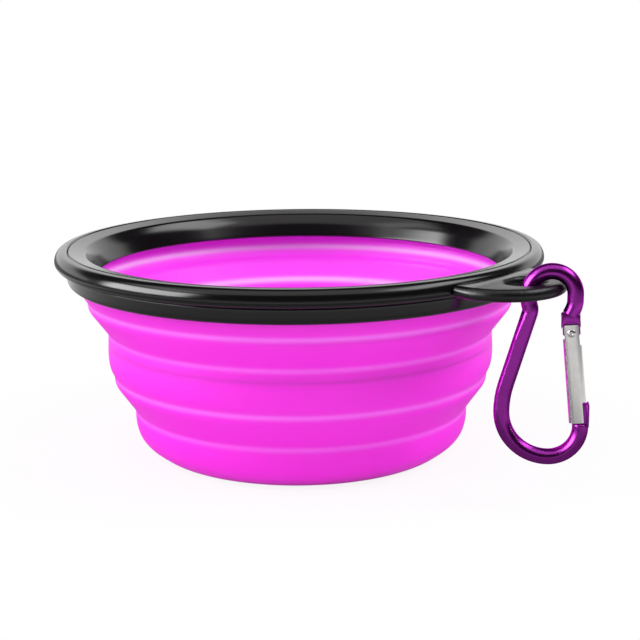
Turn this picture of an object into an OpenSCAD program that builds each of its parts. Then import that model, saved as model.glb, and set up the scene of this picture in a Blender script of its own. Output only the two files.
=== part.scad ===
// Collapsible silicone travel bowl with a two-part plastic rim and a hanging spring clip.
// The bowl stands on the plane z = 0 with its axis on Z. The tab of the rim points along +X.

/* [Silicone bowl] */
// Radius of the flat bottom
foot_r = 39.6; // [30:0.1:41]
// Radius where the round of the bottom edge ends
heel_r = 44.1; // [42.5:0.1:44.8]
// Height of the heel point above the bottom
heel_h = 3.3; // [2.5:0.1:4]
// Outer radius of the base cup
cup_r = 45.4; // [45:0.1:48]
// Height of the lowest hinge line
cup_h = 11.2; // [9:0.1:16]
// Height of the lower fold, between its two hinge lines
lower_fold_h = 9.8; // [8:0.1:12]
// Radius at the top of the lower fold
lower_lip_r = 50.7; // [49.5:0.1:51.8]
// Largest outer radius of the middle band
middle_r = 52.3; // [51.9:0.1:53]
// Radius of the middle band at its upper hinge line
waist_r = 51.9; // [51:0.1:52.2]
// Height of the middle band
middle_h = 12; // [10:0.1:15]
// Height of the upper fold, between its two hinge lines
upper_fold_h = 8.8; // [7.5:0.1:11]
// Radius at the top of the upper fold
upper_lip_r = 57.1; // [56:0.1:58]
// Radius of the top band where it enters the rim
neck_r = 59.4; // [58.6:0.1:59.6]
// Height of the top band that shows below the rim
neck_h = 4.55; // [4:0.05:6]
// Upright height of the lip at the top of each fold
lip_h = 1.8; // [1.2:0.1:2.4]
// Height over which a band widens above its lip
shoulder_h = 3.4; // [2.6:0.1:4]
// Wall thickness of the silicone
wall_t = 2; // [1.4:0.1:2.4]
// Thickness of the floor
floor_t = 2.2; // [1.6:0.1:3]
// Thickness of the bead that the rim clamps
bead_t = 3; // [2.6:0.1:3.4]
// Height of the clamped bead
bead_h = 3.8; // [3:0.1:4.2]
// Height of the thinned neck between the rim's lower edge and the bead
bead_rise = 1.05; // [0.8:0.05:1.4]

/* [Rim] */
// Width of the rolled edge outside the seam of the two rings
roll_w = 3.35; // [2.8:0.05:5]
// Height of the upper half of the rolled edge
roll_up_h = 2.8; // [2:0.1:3.4]
// Height of the lower half of the rolled edge
roll_down_h = 2.2; // [1.8:0.1:3]
// Width of the nearly flat top of the rolled edge, beside the seam
roll_flat = 1.2; // [0.8:0.1:1.6]
// How far that flat top falls outwards from the seam
roll_fall = 0.08; // [0.02:0.02:0.2]
// Wall thickness of the skirt above its lower edge
skirt_wall = 2.05; // [1.6:0.05:2.4]
// Bevel of the skirt's lower edge
skirt_edge = 0.8; // [0.4:0.1:1.2]
// How far the skirt flares out at its top
flare_w = 0.5; // [0.2:0.05:0.8]
// Depth of the fine groove between the skirt and the rolled edge
groove_in = 0.7; // [0.4:0.05:0.9]
// How far the top face of the inner ring lies below the top of the outer ring at the seam
seam_drop = 0.1; // [0.05:0.05:0.2]
// Bevel on both edges of the seam
seam_bevel = 0.35; // [0.2:0.05:0.45]
// Height of the skirt below the rolled edge
skirt_h = 3.95; // [3.6:0.05:4.5]
// Height of the groove above the lower edge of the skirt
parting_h = 3.85; // [3:0.05:3.9]
// Width of the ledge that holds the bead from below
ledge_w = 0.45; // [0.3:0.05:0.6]
// Depth of the seat for the flange of the inner ring
seat_h = 1.65; // [1.2:0.05:2]
// Width of the seat for the flange of the inner ring
seat_w = 1.95; // [1.6:0.05:2.4]
// Width of the top face, from the seam to its rounded inner edge
face_w = 4.7; // [4:0.1:5.4]
// How far the top face falls towards the mouth
mouth_drop = 0.9; // [0.2:0.05:1.1]
// How far the slanted wall of the inner ring reaches inwards
throat_w = 3.5; // [2.8:0.05:4.2]
// Height of the slanted wall of the inner ring
throat_h = 7; // [6.2:0.1:7.6]
// Width of the gentler upper part of the slanted wall
shoulder_w = 1.6; // [1.2:0.1:2]
// Height of the gentler upper part of the slanted wall
shoulder_drop = 2; // [1.6:0.1:2.6]
// Wall thickness of the inner ring
ring_t = 1.5; // [1.2:0.1:1.8]
// Length of the rounding at the inner edge
mouth_round = 0.6; // [0.4:0.1:1]
// Length of the rounding at the foot of the gentler part
shoulder_round = 1.2; // [0.8:0.1:1.4]
// Width of the fine seam between the two rings, below its bevels
seam_gap = 0.2; // [0.1:0.05:0.4]
// Gap between parts that are pushed together
fit_gap = 0.05; // [0.02:0.01:0.1]

/* [Tab] */
// Radius of the round end of the tab
tab_r = 15.65; // [14:0.05:18]
// How far the tip of the tab stands out of the rolled edge
tab_out = 16.8; // [15:0.05:20]
// Thickness of the tab
tab_t = 3.1; // [2.6:0.05:3.3]
// Rounding of the outer edge of the tab
tab_edge = 1.5; // [0.8:0.05:1.8]
// Height of the middle of the tab below the top of the rim
tab_drop = 2.85; // [2.4:0.05:3]
// Width of the bar between the hole and the tip
bar_w = 4.55; // [4:0.05:4.9]
// Width of the hole, from the bowl towards the tip
hole_w = 8.6; // [8:0.1:10]
// Length of the hole along the rim
hole_l = 11.6; // [11:0.1:15]
// Rounding of the rim of the hole
hole_edge = 1; // [0.4:0.1:1.4]

/* [Clip] */
// Diameter of the round rod
rod_d = 3.85; // [3.6:0.05:4]
// Radius of the top arch, at the middle of the rod
arch_r = 5.4; // [5.2:0.05:6]
// Length of the upright sides below the arch
arch_side = 1.35; // [0.8:0.05:1.8]
// Turn of the arch inwards above the gate
tuck_gate = 24; // [18:1:28]
// Turn of the arch inwards above the leg
tuck_leg = 18; // [12:1:24]
// Length of the short straight above the gate's block
neck_len = 1.25; // [0.8:0.05:1.6]
// Radius of the pinched waist, at the middle of the rod
pinch_r = 3.05; // [2.6:0.05:4]
// Lean of the straight leg from upright
leg_lean = 16.5; // [12:0.5:20]
// Height of the nose's root above the middle of the loop
nose_rise = 0.95; // [0.6:0.05:2]
// Radius of the slow bend below the leg
bend_r = 24; // [18:0.5:34]
// Radius of the loop on the leg's side
loop_leg_r = 10.9; // [10:0.1:12]
// Radius of the loop on the gate's side
loop_gate_r = 7.8; // [7:0.1:8.4]
// Thickness between the pressed flats of the leg
press_t = 3.1; // [2.6:0.1:3.5]
// Turn of the clip away from the middle line of the tab
clip_turn = 32.7; // [20:0.1:36]
// Distance of the clip's plane from the middle of the tab's round
clip_aside = 5.15; // [4:0.05:6]
// Gap between the inside of the arch and the edge of the tab
arch_gap = 0.7; // [0.5:0.01:0.9]
// Height of the arch's centre below the middle of the tab
arch_low = 1.05; // [0.9:0.05:1.4]

/* [Gate] */
// Width of the gate
gate_w = 4.3; // [3.9:0.1:4.6]
// Thickness of the gate across its two cheeks
gate_t = 3.5; // [3.2:0.1:3.8]
// Thickness of the gate's sheet
sheet_t = 0.4; // [0.3:0.05:0.5]
// Length of the gate below its rivet
gate_len = 21.95; // [19:0.05:24]
// Radius of the rounded corners at the gate's top end, about its rivet
gate_top_r = 2.4; // [2.3:0.05:2.6]
// Height of the gate's flat top end above its rivet
gate_top_h = 1.95; // [1.6:0.05:2.2]
// Rounding of the gate's long edges
gate_round = 1.4; // [0.8:0.1:1.6]
// Length of the slot for the tongue below the rivet, outer side
hinge_slot = 3.1; // [2.8:0.1:4]
// Length of the slot for the nose
latch_slot = 5; // [4:0.1:6]
// How far the slots cut away the gate's rounded edges
slot_in = 0.45; // [0.2:0.05:0.6]
// How far the slot for the nose cuts back the gate's cheeks
latch_in = 0.8; // [0.5:0.05:1]
// Diameter of the rivet
rivet_d = 1.4; // [1.2:0.1:1.6]
// Diameter of the rivet's heads
rivet_head_d = 1.9; // [1.8:0.1:2.2]
// Height of the rivet's heads
rivet_head_h = 0.3; // [0.2:0.05:0.4]
// Width of the flattened tongue
tongue_w = 4.5; // [4.2:0.1:4.7]
// Thickness of the block above the gate
block_t = 3.1; // [2.8:0.1:3.4]
// Height of the block above the gate's end
block_h = 2; // [1.6:0.1:3]
// Thickness of the tongue between the cheeks
tongue_t = 2.3; // [2:0.1:2.4]
// Length of the tongue below the rivet
tongue_len = 1.9; // [1.6:0.1:2.2]
// Gap between the tongue and the flat of the plunger, which the turning tongue takes up
cam_gap = 0.27; // [0.24:0.01:0.4]
// Thickness of the nose blade
nose_t = 2; // [1.8:0.1:2.2]
// Thickness of the crossbar at the outer edge of the nose
nose_bar_t = 3.1; // [2.4:0.1:3.4]
// Width of the crossbar at the outer edge of the nose
nose_bar_w = 0.65; // [0.4:0.05:0.9]
// How far the nose blade stands out past the rod
nose_out = 0.1; // [0:0.05:0.4]
// Gap between the gate and the parts it closes on
gate_gap = 0.2; // [0.15:0.05:0.3]
// Height of the bright collar below the nose
collar_h = 1; // [0.6:0.1:1.4]
// Diameter of the spring coil, outside
coil_d = 2.2; // [1.8:0.1:2.3]
// Diameter of the spring wire
wire_d = 0.36; // [0.3:0.02:0.4]
// Length of the spring in place
spring_len = 8; // [6:0.5:10]
// Number of turns of the spring
spring_turns = 8; // [6:1:10]
// Length of the plunger's head
plunger_head = 0.9; // [0.7:0.1:1.2]
// Length of the plunger's stem inside the spring
plunger_stem = 2.2; // [1.5:0.1:3]

/* [Hidden] */
$fn = 96;

// One overrun for every cut
over = rod_d;
// Points on each rounded corner of an outline
corner_steps = 5;
// Points on a quarter of the rolled edge
roll_steps = 8;
// Facets round the rod
rod_fn = 32;
// Sides and rings of the spring wire
wire_sides = 6;
rings_per_turn = 8;

rod_r = rod_d / 2;
// Overlap of neighbouring stretches of the rod, and the fine step where they meet
rod_lap = rod_d / 20;
rod_step = rod_d / 130;

// Heights of the four hinge lines and of the rim
hinge_1 = cup_h;
hinge_2 = hinge_1 + lower_fold_h;
hinge_3 = hinge_2 + middle_h;
hinge_4 = hinge_3 + upper_fold_h;
skirt_z = hinge_4 + neck_h;
roll_z = skirt_z + skirt_h + roll_down_h;
rim_z = roll_z + roll_up_h;
bead_z = skirt_z + bead_rise;
bead_top = bead_z + bead_h;
bead_r = neck_r + ledge_w + fit_gap;

// Radii of the rim, each one built on the neck of the bowl
skirt_in = bead_r + fit_gap;
skirt_r = skirt_in + skirt_wall;
groove_r = skirt_r + flare_w - groove_in;
seam_r = skirt_in + seat_w;
rim_r = seam_r + roll_w;
roll_round_w = roll_w - roll_flat;
mouth_r = seam_r - face_w;
throat_r = mouth_r - throat_w;
// Where the rounding of the lower edge of the inner ring starts, as a share of its wall
tip_share = 0.8;

// Middle of the tab, of its round end and of its hole
tab_z = rim_z - tab_drop;
tab_x = rim_r + tab_out - tab_r;
hole_x = rim_r + tab_out - bar_w - hole_w / 2;

// Places of the clip, in its own plane: X outwards, Z up, origin at the arch's centre
clip_z = tab_z - arch_low;
clip_out = sqrt(pow(tab_r, 2) - pow(clip_aside, 2)) - (arch_r - rod_r - arch_gap);
tuck_z = -arch_side;
leg_tuck_end = [-arch_r * cos(tuck_leg), tuck_z - arch_r * sin(tuck_leg)];
pinch_c = leg_tuck_end - pinch_r * [cos(tuck_leg), sin(tuck_leg)];
leg_top = pinch_c + pinch_r * [cos(leg_lean), -sin(leg_lean)];
gate_tuck_end = [arch_r * cos(tuck_gate), tuck_z - arch_r * sin(tuck_gate)];
neck_end = gate_tuck_end - neck_len * [sin(tuck_gate), cos(tuck_gate)];
block_top = neck_end[1] + rod_r / 6;
// The rivet sits below the block, and the gate leans from it to the nose
rivet_c = [neck_end[0] + rod_r / 6, block_top - block_h - gate_top_r - gate_gap];
nose_z = rivet_c[1] - gate_len - gate_gap;
// The straight leg is as long as the gate's length asks for
loop_z = nose_z - nose_rise + loop_leg_r - loop_gate_r;
leg_len = (leg_top[1] - loop_z - bend_r * sin(leg_lean)) / cos(leg_lean);
leg_end = leg_top - leg_len * [sin(leg_lean), cos(leg_lean)];
bend_c = leg_end + bend_r * [cos(leg_lean), -sin(leg_lean)];
loop_leg_c = [bend_c[0] - bend_r + loop_leg_r, bend_c[1]];
loop_gate_c = [loop_leg_c[0], loop_leg_c[1] - loop_leg_r + loop_gate_r];
nose_root = [loop_gate_c[0] + loop_gate_r, nose_z];
gate_lean = atan((nose_root[0] - gate_w / 8 - rivet_c[0]) / gate_len);
// Places along the gate, measured down from its rivet
plunger_top = tongue_len + cam_gap;
spring_top = plunger_top + plunger_head;
spring_end = spring_top + spring_len;
inner_t = gate_t - 2 * sheet_t;

// Points of a rounded corner at b between a and c, starting a given cut away from b
function unit(v) = v / norm(v);
function bend(a, b, c, cut) =
    let (p = b + unit(a - b) * min(cut, norm(a - b) / 2), q = b + unit(c - b) * min(cut, norm(c - b) / 2))
    [for (i = [0:corner_steps]) let (t = i / corner_steps)
        p * pow(1 - t, 2) + b * (2 * t * (1 - t)) + q * pow(t, 2)];
// A path of [radius, height, cut] corners as plain points with its corners rounded
function flat(v) = [v[0], v[1]];
function rounded(path) =
    [for (i = [0:len(path) - 1]) each
        (i == 0 || i == len(path) - 1 || path[i][2] == 0) ? [flat(path[i])]
        : bend(flat(path[i - 1]), flat(path[i]), flat(path[i + 1]), path[i][2])];
// The same path moved sideways by a wall, corner by corner
function side(a, b) = let (d = unit(b - a)) [-d[1], d[0]];
function moved(path, wall) =
    [for (i = [0:len(path) - 1])
        let (n = i == 0 ? side(flat(path[0]), flat(path[1]))
                 : i == len(path) - 1 ? side(flat(path[i - 1]), flat(path[i]))
                 : unit(side(flat(path[i - 1]), flat(path[i])) + side(flat(path[i]), flat(path[i + 1]))),
             m = i == 0 || i == len(path) - 1 ? n : side(flat(path[i]), flat(path[i + 1])),
             s = wall / max(n * m, 0.5))
        [path[i][0] + n[0] * s, path[i][1] + n[1] * s, path[i][2]]];
// The stretch of a rising path between two heights, with points on both heights
function at_height(path, z) =
    let (k = [for (i = [0:len(path) - 2]) if (path[i][1] <= z && path[i + 1][1] > z) i])
    let (a = path[k[0]], b = path[k[0] + 1]) a + (b - a) * ((z - a[1]) / (b[1] - a[1]));
function between(path, low, high) =
    concat([at_height(path, low)],
           [for (p = path) if (p[1] > low && p[1] < high) p],
           [at_height(path, high)]);
function backwards(list) = [for (i = [len(list) - 1:-1:0]) list[i]];

// Outer line of the silicone, from the middle of the bottom to the rim
soft_cut = 2 * wall_t;
tight_cut = wall_t / 2;
hinge_rise = wall_t / 4;
outer_path = [
    [0, 0, 0],
    [foot_r, 0, tight_cut],
    [heel_r, heel_h, soft_cut],
    [cup_r, (heel_h + hinge_1) / 2, soft_cut],
    [cup_r, hinge_1 + hinge_rise, tight_cut],
    [lower_lip_r, hinge_2 - lip_h, tight_cut],
    [lower_lip_r, hinge_2, tight_cut],
    [middle_r, hinge_2 + shoulder_h, soft_cut],
    [waist_r, hinge_3, tight_cut],
    [upper_lip_r, hinge_4 - lip_h, tight_cut],
    [upper_lip_r, hinge_4, tight_cut],
    [neck_r, hinge_4 + shoulder_h, soft_cut],
    [neck_r, bead_z + bead_h, 0]];
inner_path = moved(outer_path, wall_t);
outer_line = rounded(outer_path);
inner_line = [for (p = rounded(inner_path)) [max(p[0], 0), p[1]]];
floor_line = [for (p = inner_line) [p[0], max(p[1], floor_t)]];

// A ring of the silicone wall between two heights
module wall_ring(low, high) {
    rotate_extrude()
        polygon(concat(between(outer_line, low, high), backwards(between(inner_line, low, high))));
}

module base_cup() {
    color("magenta")
    rotate_extrude()
        polygon(concat(
            [[0, 0]], [for (p = outer_line) if (p[0] > 0 && p[1] < hinge_1) p],
            [at_height(outer_line, hinge_1)], [at_height(inner_line, hinge_1)],
            backwards([for (p = floor_line) if (p[0] > 0 && p[1] < hinge_1) p]), [[0, floor_t]]));
}

module lower_fold() { color("magenta") wall_ring(hinge_1, hinge_2); }

module middle_band() { color("magenta") wall_ring(hinge_2, hinge_3); }

module upper_fold() { color("magenta") wall_ring(hinge_3, hinge_4); }

// The top band ends in the thick bead that the two rings clamp
module top_band() {
    neck_inner = at_height(inner_line, skirt_z);
    color("magenta")
    rotate_extrude()
        polygon(concat(
            between(outer_line, hinge_4, skirt_z),
            [[neck_r, bead_z], [bead_r, bead_z], [bead_r, bead_top], [bead_r - bead_t, bead_top],
             [bead_r - bead_t, bead_z + bead_rise]],
            [neck_inner],
            backwards([for (p = between(inner_line, hinge_4, skirt_z)) if (p[1] < skirt_z) p])));
}

// Half of an oval, as points between two angles
function oval(c, size, from, to) =
    [for (i = [0:roll_steps]) let (a = from + (to - from) * i / roll_steps)
        [c[0] + size[0] * cos(a), c[1] + size[1] * sin(a)]];

// Profile of the outer ring: skirt, rolled edge and the seat for the inner ring
module outer_ring_profile() {
    polygon(concat(
        [[neck_r + fit_gap, skirt_z], [skirt_r - skirt_edge, skirt_z],
         [skirt_r, skirt_z + skirt_edge], [skirt_r + flare_w, skirt_z + parting_h],
         [groove_r, skirt_z + parting_h], [groove_r, roll_z - roll_down_h]],
        oval([seam_r, roll_z], [roll_w, roll_down_h], -90, 0),
        oval([rim_r - roll_round_w, roll_z], [roll_round_w, roll_up_h - roll_fall], 0, 90),
        [[seam_r + seam_bevel, rim_z], [seam_r, rim_z - seam_bevel],
         [seam_r, rim_z - seat_h], [skirt_in, rim_z - seat_h],
         [skirt_in, bead_z], [neck_r + fit_gap, bead_z]]));
}

// Half profile of the tab's plate, with its outer edge rounded
module plate_half(w) {
    edge_c = w - tab_edge;
    half = tab_t / 2;
    polygon(concat(
        [[0, -half]],
        [for (i = [0:2 * roll_steps]) let (a = -90 + 90 * i / roll_steps)
            [edge_c + tab_edge * cos(a), (half - tab_edge) * sign(a) + tab_edge * sin(a)]],
        [[0, half]]));
}

// Half profile of the hole, widened at both faces by its rounded rim
module hole_half() {
    w = hole_w / 2;
    half = tab_t / 2;
    polygon(concat(
        [[0, -half - over], [w + hole_edge, -half - over]],
        [for (i = [0:roll_steps]) let (a = -90 + 90 * i / roll_steps)
            [w + hole_edge - hole_edge * cos(a), -half + hole_edge + hole_edge * sin(a)]],
        [for (i = [0:roll_steps]) let (a = 90 * i / roll_steps)
            [w + hole_edge - hole_edge * cos(a), half - hole_edge + hole_edge * sin(a)]],
        [[w + hole_edge, half + over], [0, half + over]]));
}

module tab_hole() {
    shift = (hole_l - hole_w) / 2;
    for (s = [-1, 1]) translate([hole_x, s * shift, tab_z]) rotate_extrude() hole_half();
    translate([hole_x, shift, tab_z]) rotate([90, 0, 0]) linear_extrude(2 * shift) {
        hole_half();
        mirror([1, 0]) hole_half();
    }
}

module tab_plate() {
    translate([tab_x, 0, tab_z]) rotate([0, 0, -90]) rotate_extrude(angle = 180) plate_half(tab_r);
    translate([tab_x, 0, tab_z]) rotate([90, 0, -90]) linear_extrude(tab_x - seam_r + tab_r / 4) {
        plate_half(tab_r);
        mirror([1, 0]) plate_half(tab_r);
    }
}

module outer_rim_ring() {
    color("black") difference() {
        union() {
            rotate_extrude() outer_ring_profile();
            difference() {
                tab_plate();
                translate([0, 0, tab_z - tab_t]) cylinder(h = 2 * tab_t, r = seam_r + seam_drop);
            }
        }
        tab_hole();
    }
}

module inner_rim_ring() {
    top_r = seam_r - seam_gap;
    neck = bead_r - fit_gap;
    low_z = rim_z - throat_h;
    mouth_z = rim_z - mouth_drop;
    shoulder = [mouth_r - shoulder_w, mouth_z - shoulder_drop];
    slant = unit(shoulder - [throat_r, low_z]);
    step = [slant[1], -slant[0]] * ring_t;
    tip = [throat_r, low_z];
    line = [
        [top_r, rim_z - seam_drop - seam_bevel, 0],
        [top_r - seam_bevel, rim_z - seam_drop, 0],
        [mouth_r, mouth_z, mouth_round],
        [shoulder[0], shoulder[1], shoulder_round],
        [tip[0], tip[1], 0],
        [tip[0] + step[0] * tip_share, tip[1] + step[1] * tip_share, ring_t / 4],
        [tip[0] + step[0] + slant[0] * (bead_top - tip[1] - step[1]) / slant[1], bead_top, 0],
        [neck, bead_top, 0],
        [neck, rim_z - seat_h, 0],
        [top_r, rim_z - seat_h, 0]];
    color("black") rotate_extrude() polygon(rounded(line));
}

// Everything of the clip is drawn in its own plane and then hung on the tab
module hang_clip() {
    translate([tab_x, 0, clip_z]) rotate([0, 0, clip_turn])
        translate([clip_out, -clip_aside, 0]) children();
}

// A bent stretch of rod in the clip's plane, from one angle to another. A slim stretch runs on into
// its full neighbours, so that the joints are clean.
module rod_arc(c, r, from, to, slim = 0) {
    lap = slim * rod_lap / r * 180 / PI;
    translate([c[0], 0, c[1]]) rotate([90, 0, 0]) rotate([0, 0, from - lap])
        rotate_extrude(angle = to - from + 2 * lap) translate([r, 0])
            circle(rod_r - slim * rod_step, $fn = rod_fn);
}

// A straight stretch of rod between two points of the clip's plane
module rod_line(a, b, slim = 0) {
    d = b - a;
    translate([a[0], 0, a[1]]) rotate([0, 90 - atan2(d[1], d[0]), 0]) translate([0, 0, -slim * rod_lap])
        cylinder(h = norm(d) + 2 * slim * rod_lap, r = rod_r - slim * rod_step, $fn = rod_fn);
}

// A flat piece in the clip's plane, centred across it
module in_plane(t) {
    rotate([90, 0, 0]) translate([0, 0, -t / 2]) linear_extrude(t) children();
}

module press_cutter() {
    fade = (rod_r - press_t / 2) / (leg_len + loop_leg_r);
    for (s = [-1, 1])
        translate([leg_top[0], 0, leg_top[1]]) rotate([0, leg_lean, 0]) rotate([s * atan(fade), 0, 0])
            translate([-rod_d, s > 0 ? press_t / 2 : -press_t / 2 - rod_d, -leg_len - 2 * loop_leg_r])
                cube([2 * rod_d, rod_d, leg_len + 2 * loop_leg_r]);
}

// Moves drawing of the gate from its own upright frame, with the rivet at the origin
module at_gate() {
    translate([rivet_c[0], 0, rivet_c[1]]) rotate([0, -gate_lean, 0]) children();
}

// Outline of the nose in the clip's plane, from its outer edge inwards over a given width
module nose_outline(width) {
    nose_h = latch_slot - gate_gap - sheet_t;
    // The blade's inner corners stay clear of the rounded corners inside the gate
    inner_r = gate_round - sheet_t;
    corner_x = gate_w / 2 - gate_round;
    corner_y = inner_t / 2 - inner_r;
    nose_in = corner_x + sqrt(pow(inner_r, 2) - pow(max(nose_t / 2 - corner_y, 0), 2)) - gate_gap;
    nose_edge = nose_root[0] + rod_r + nose_out;
    intersection() {
        translate(rivet_c) rotate(gate_lean) translate([-nose_in, -gate_len - gate_gap - collar_h])
            square([gate_w + rod_d, nose_h + gate_gap + collar_h]);
        translate([nose_edge - width, rivet_c[1] - 2 * gate_len]) square([width, 2 * gate_len]);
    }
}

module clip_body() {
    color("purple") hang_clip() difference() {
        union() {
            rod_arc([0, 0], arch_r, 0, 180, 1);
            for (s = [-1, 1]) rod_line([s * arch_r, 0], [s * arch_r, tuck_z]);
            rod_arc([0, tuck_z], arch_r, -tuck_gate, 0, 1);
            rod_line(gate_tuck_end, neck_end);
            rod_arc([0, tuck_z], arch_r, 180, 180 + tuck_leg, 1);
            rod_arc(pinch_c, pinch_r, -leg_lean, tuck_leg);
            rod_line(leg_top, leg_end, 1);
            rod_arc(bend_c, bend_r, 180 - leg_lean, 180);
            rod_arc(loop_leg_c, loop_leg_r, 180, 270, 1);
            rod_arc(loop_gate_c, loop_gate_r, 270, 360);
            rod_line([nose_root[0], loop_gate_c[1]], nose_root - [0, rod_lap], 1);
            // Flattened block and the tongue that carries the gate
            in_plane(block_t) difference() {
                translate([neck_end[0] - tongue_w / 2, rivet_c[1]])
                    square([tongue_w, block_top - rivet_c[1]]);
                translate(rivet_c) circle(gate_top_r + gate_gap);
            }
            at_gate() in_plane(tongue_t) {
                translate([-tongue_w / 2 + gate_gap, 0])
                    square([tongue_w - 2 * gate_gap, gate_top_r + gate_gap + block_h / 2]);
                translate([-tongue_w / 2 + gate_gap, -tongue_len / 4])
                    square([tongue_w - 2 * gate_gap, tongue_len / 4]);
                translate([-tongue_len / 2, -tongue_len]) square([tongue_len, tongue_len]);
                circle(tongue_len);
            }
            // Nose blade that the gate closes on, and the crossbar at its outer edge
            in_plane(nose_t) nose_outline(gate_w + rod_d);
            in_plane(nose_bar_t) nose_outline(nose_bar_w);
        }
        press_cutter();
        at_gate() rotate([90, 0, 0]) translate([0, 0, -over]) cylinder(h = 2 * over, r = rivet_d / 2);
    }
}

// Outline of the gate's tube across its length
module gate_section(inset) {
    w = gate_w / 2 - inset;
    t = gate_t / 2 - inset;
    r = gate_round - inset;
    polygon([for (q = [[1, 1, 0], [-1, 1, 90], [-1, -1, 180], [1, -1, 270]]) each
        [for (i = [0:corner_steps]) let (a = q[2] + 90 * i / corner_steps)
            [q[0] * (w - r) + r * cos(a), q[1] * (t - r) + r * sin(a)]]]);
}

// A slot of a given length that opens one edge of the gate and cuts back its cheeks
module edge_slot(length, depth) {
    translate([0, -inner_t / 2, 0]) cube([gate_w, inner_t, length]);
    translate([gate_w / 2 - depth, -gate_t, 0]) cube([gate_w, 2 * gate_t, length]);
}

module clip_gate() {
    stop_z = spring_end + fit_gap;
    side_slot = 3 / 4 * tongue_len;
    color("silver") hang_clip() at_gate() difference() {
        intersection() {
            translate([0, 0, -gate_len]) linear_extrude(gate_len + gate_top_h) gate_section(0);
            rotate([90, 0, 0]) translate([0, 0, -gate_t]) union() {
                cylinder(h = 2 * gate_t, r = gate_top_r);
                translate([-gate_w, -gate_len, 0]) cube([2 * gate_w, gate_len, 2 * gate_t]);
            }
        }
        difference() {
            translate([0, 0, -gate_len - over]) linear_extrude(gate_len + gate_top_r + 2 * over)
                gate_section(sheet_t);
            // Pressed-in wall that the spring stands on
            translate([-gate_w, -gate_t, -stop_z - sheet_t]) cube([2 * gate_w, 2 * gate_t, sheet_t]);
        }
        // Slots for the tongue, outer and inner side, and for the nose
        translate([0, 0, -hinge_slot]) edge_slot(hinge_slot + gate_top_r + over, slot_in);
        translate([0, 0, -side_slot]) mirror([1, 0, 0]) edge_slot(side_slot + gate_top_r + over, slot_in);
        translate([0, 0, -gate_len - over]) edge_slot(latch_slot + over, latch_in);
        rotate([90, 0, 0]) translate([0, 0, -gate_t]) cylinder(h = 2 * gate_t, r = rivet_d / 2 + fit_gap);
    }
}

module gate_rivet() {
    color("silver") hang_clip() at_gate() rotate([90, 0, 0]) {
        translate([0, 0, -gate_t / 2 - rivet_head_h / 2])
            cylinder(h = gate_t + rivet_head_h, r = rivet_d / 2);
        for (s = [0, 1]) mirror([0, 0, s]) translate([0, 0, gate_t / 2 + fit_gap]) rotate_extrude()
            polygon(concat([[0, 0]], [for (i = [0:corner_steps]) let (a = 90 * i / corner_steps)
                [rivet_head_d / 2 * cos(a), rivet_head_h * sin(a)]]));
    }
}

// Points of one ring of the wire at a share of the coil's length
function coil_ring(k, n) =
    let (a = 360 * spring_turns * k / n, r = (coil_d - wire_d) / 2,
         rise = (spring_len - wire_d) / spring_turns, lead = atan(rise / (2 * PI * r)),
         z = -spring_top - wire_d / 2 - (spring_len - wire_d) * k / n)
    [for (j = [0:wire_sides - 1])
        let (b = 360 * j / wire_sides, o = wire_d / 2 * cos(b), u = wire_d / 2 * sin(b), tilt = u * sin(lead))
        [(r + o) * cos(a) + tilt * sin(a), (r + o) * sin(a) - tilt * cos(a), z + u * cos(lead)]];

module gate_spring() {
    n = spring_turns * rings_per_turn;
    points = [for (k = [0:n]) each coil_ring(k, n)];
    sides = [for (k = [0:n - 1], j = [0:wire_sides - 1]) each
        let (a = k * wire_sides + j, b = k * wire_sides + (j + 1) % wire_sides,
             c = a + wire_sides, d = b + wire_sides)
        [[a, b, c], [b, d, c]]];
    caps = [for (j = [1:wire_sides - 2]) each
        [[0, j + 1, j], [n * wire_sides, n * wire_sides + j, n * wire_sides + j + 1]]];
    color("gray") hang_clip() at_gate() polyhedron(points, concat(sides, caps));
}

module spring_plunger() {
    stem_r = coil_d / 2 - wire_d - fit_gap;
    color("silver") hang_clip() at_gate() translate([0, 0, -spring_top]) {
        cylinder(h = plunger_head, r = coil_d / 2);
        translate([0, 0, -plunger_stem]) cylinder(h = plunger_stem + plunger_head / 2, r = stem_r);
    }
}

outer_rim_ring();
inner_rim_ring();
top_band();
upper_fold();
middle_band();
lower_fold();
base_cup();
clip_body();
clip_gate();
gate_rivet();
gate_spring();
spring_plunger();
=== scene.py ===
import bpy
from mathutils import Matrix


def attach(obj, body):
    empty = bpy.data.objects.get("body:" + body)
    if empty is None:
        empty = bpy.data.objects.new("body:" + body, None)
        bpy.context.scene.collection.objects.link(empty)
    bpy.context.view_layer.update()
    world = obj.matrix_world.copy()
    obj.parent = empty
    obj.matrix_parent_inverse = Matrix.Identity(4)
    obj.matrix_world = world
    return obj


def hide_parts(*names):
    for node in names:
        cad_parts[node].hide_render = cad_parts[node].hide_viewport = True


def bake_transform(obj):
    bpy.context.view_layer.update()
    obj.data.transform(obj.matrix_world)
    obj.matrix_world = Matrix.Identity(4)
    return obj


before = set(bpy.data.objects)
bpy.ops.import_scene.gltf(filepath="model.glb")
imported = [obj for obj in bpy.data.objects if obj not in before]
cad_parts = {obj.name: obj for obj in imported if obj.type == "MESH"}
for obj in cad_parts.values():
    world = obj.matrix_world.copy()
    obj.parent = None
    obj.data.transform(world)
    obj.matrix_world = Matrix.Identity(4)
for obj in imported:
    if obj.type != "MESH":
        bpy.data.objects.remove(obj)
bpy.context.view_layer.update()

import logging
import math
from dataclasses import dataclass, field
from enum import Enum
from typing import Any, Sequence

import bmesh
import bpy
from bpy.types import Material, Mesh, Node, NodeSocket, NodeTree, Object
from mathutils import Matrix, Vector

LOG = logging.getLogger("bowl")
MM = 0.001
TINY = 1e-4  # mm, two heights closer than this are the same
SLACK = 0.01  # mm, room left where a height is compared or met
WHITE = (1.0, 1.0, 1.0, 1.0)
Point2 = tuple[float, float]
Triple = tuple[float, float, float]
Colour = tuple[float, ...]


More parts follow.
